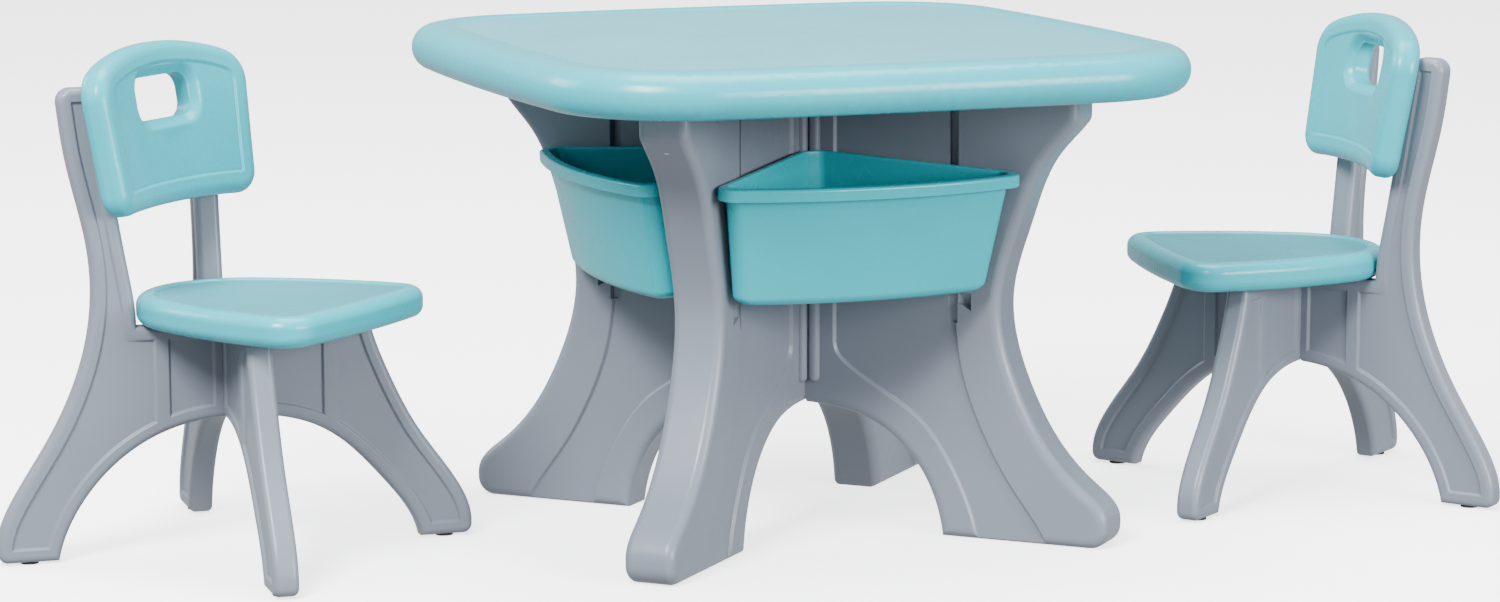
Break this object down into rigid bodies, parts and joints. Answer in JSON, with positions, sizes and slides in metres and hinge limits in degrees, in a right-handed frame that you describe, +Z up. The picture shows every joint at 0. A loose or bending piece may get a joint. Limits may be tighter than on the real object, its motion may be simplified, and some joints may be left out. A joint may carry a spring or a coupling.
{
  "type": "kids table and chair set",
  "caption": "Square play table with crossed leg panels, pull-out storage bins between the legs, and matching small chairs with curved backrests.",
  "frame": {"origin": "middle of the whole set's box, on the floor", "axes": "+Z up; the table's sides lie along X and Y; the chairs stand at its -X and +X sides, and -Y is the side of the table the front bin faces"},
  "size_m": [1.5066, 0.6558, 0.4837],
  "materials": {
    "top_teal": "fine-grained moulded plastic",
    "bin_teal": "smooth moulded plastic",
    "panel_grey": "fine-grained moulded plastic",
    "screw_steel": "plain",
    "pad_black": "plain"
  },
  "bodies": {
    "table": {"tabletop": "top_teal", "table_leg_panel_a": "panel_grey", "table_leg_panel_b": "panel_grey", "tabletop_screws": "screw_steel"},
    "bin_front": {"bin_front": "bin_teal"},
    "bin_right": {"bin_right": "bin_teal"},
    "bin_back": {"bin_back": "bin_teal"},
    "bin_left": {"bin_left": "bin_teal"},
    "chair_left": {"chair_left_seat": "top_teal", "chair_left_backrest": "top_teal", "chair_left_leg_panel_a": "panel_grey", "chair_left_leg_panel_b": "panel_grey", "chair_left_seat_screws": "screw_steel", "chair_left_backrest_screws": "screw_steel", "chair_left_foot_pads": "pad_black"},
    "chair_right": {"chair_right_seat": "top_teal", "chair_right_backrest": "top_teal", "chair_right_leg_panel_a": "panel_grey", "chair_right_leg_panel_b": "panel_grey", "chair_right_seat_screws": "screw_steel", "chair_right_backrest_screws": "screw_steel", "chair_right_foot_pads": "pad_black"}
  },
  "joints": [
    {"name": "bin_front_pull", "type": "slide", "parent": "table", "child": "bin_front", "axis": [0, -1, 0], "range_m": [0, 0.13]},
    {"name": "bin_right_pull", "type": "slide", "parent": "table", "child": "bin_right", "axis": [1, 0, 0], "range_m": [0, 0.13]},
    {"name": "bin_back_pull", "type": "slide", "parent": "table", "child": "bin_back", "axis": [0, 1, 0], "range_m": [0, 0.13]},
    {"name": "bin_left_pull", "type": "slide", "parent": "table", "child": "bin_left", "axis": [-1, 0, 0], "range_m": [0, 0.13]},
    {"name": "chair_left_push_back", "type": "slide", "parent": "table", "child": "chair_left", "axis": [-0.6691, 0.7431, 0], "range_m": [0, 0.22]},
    {"name": "chair_right_push_back", "type": "slide", "parent": "table", "child": "chair_right", "axis": [0.9833, -0.1822, 0], "range_m": [0, 0.22]}
  ]
}
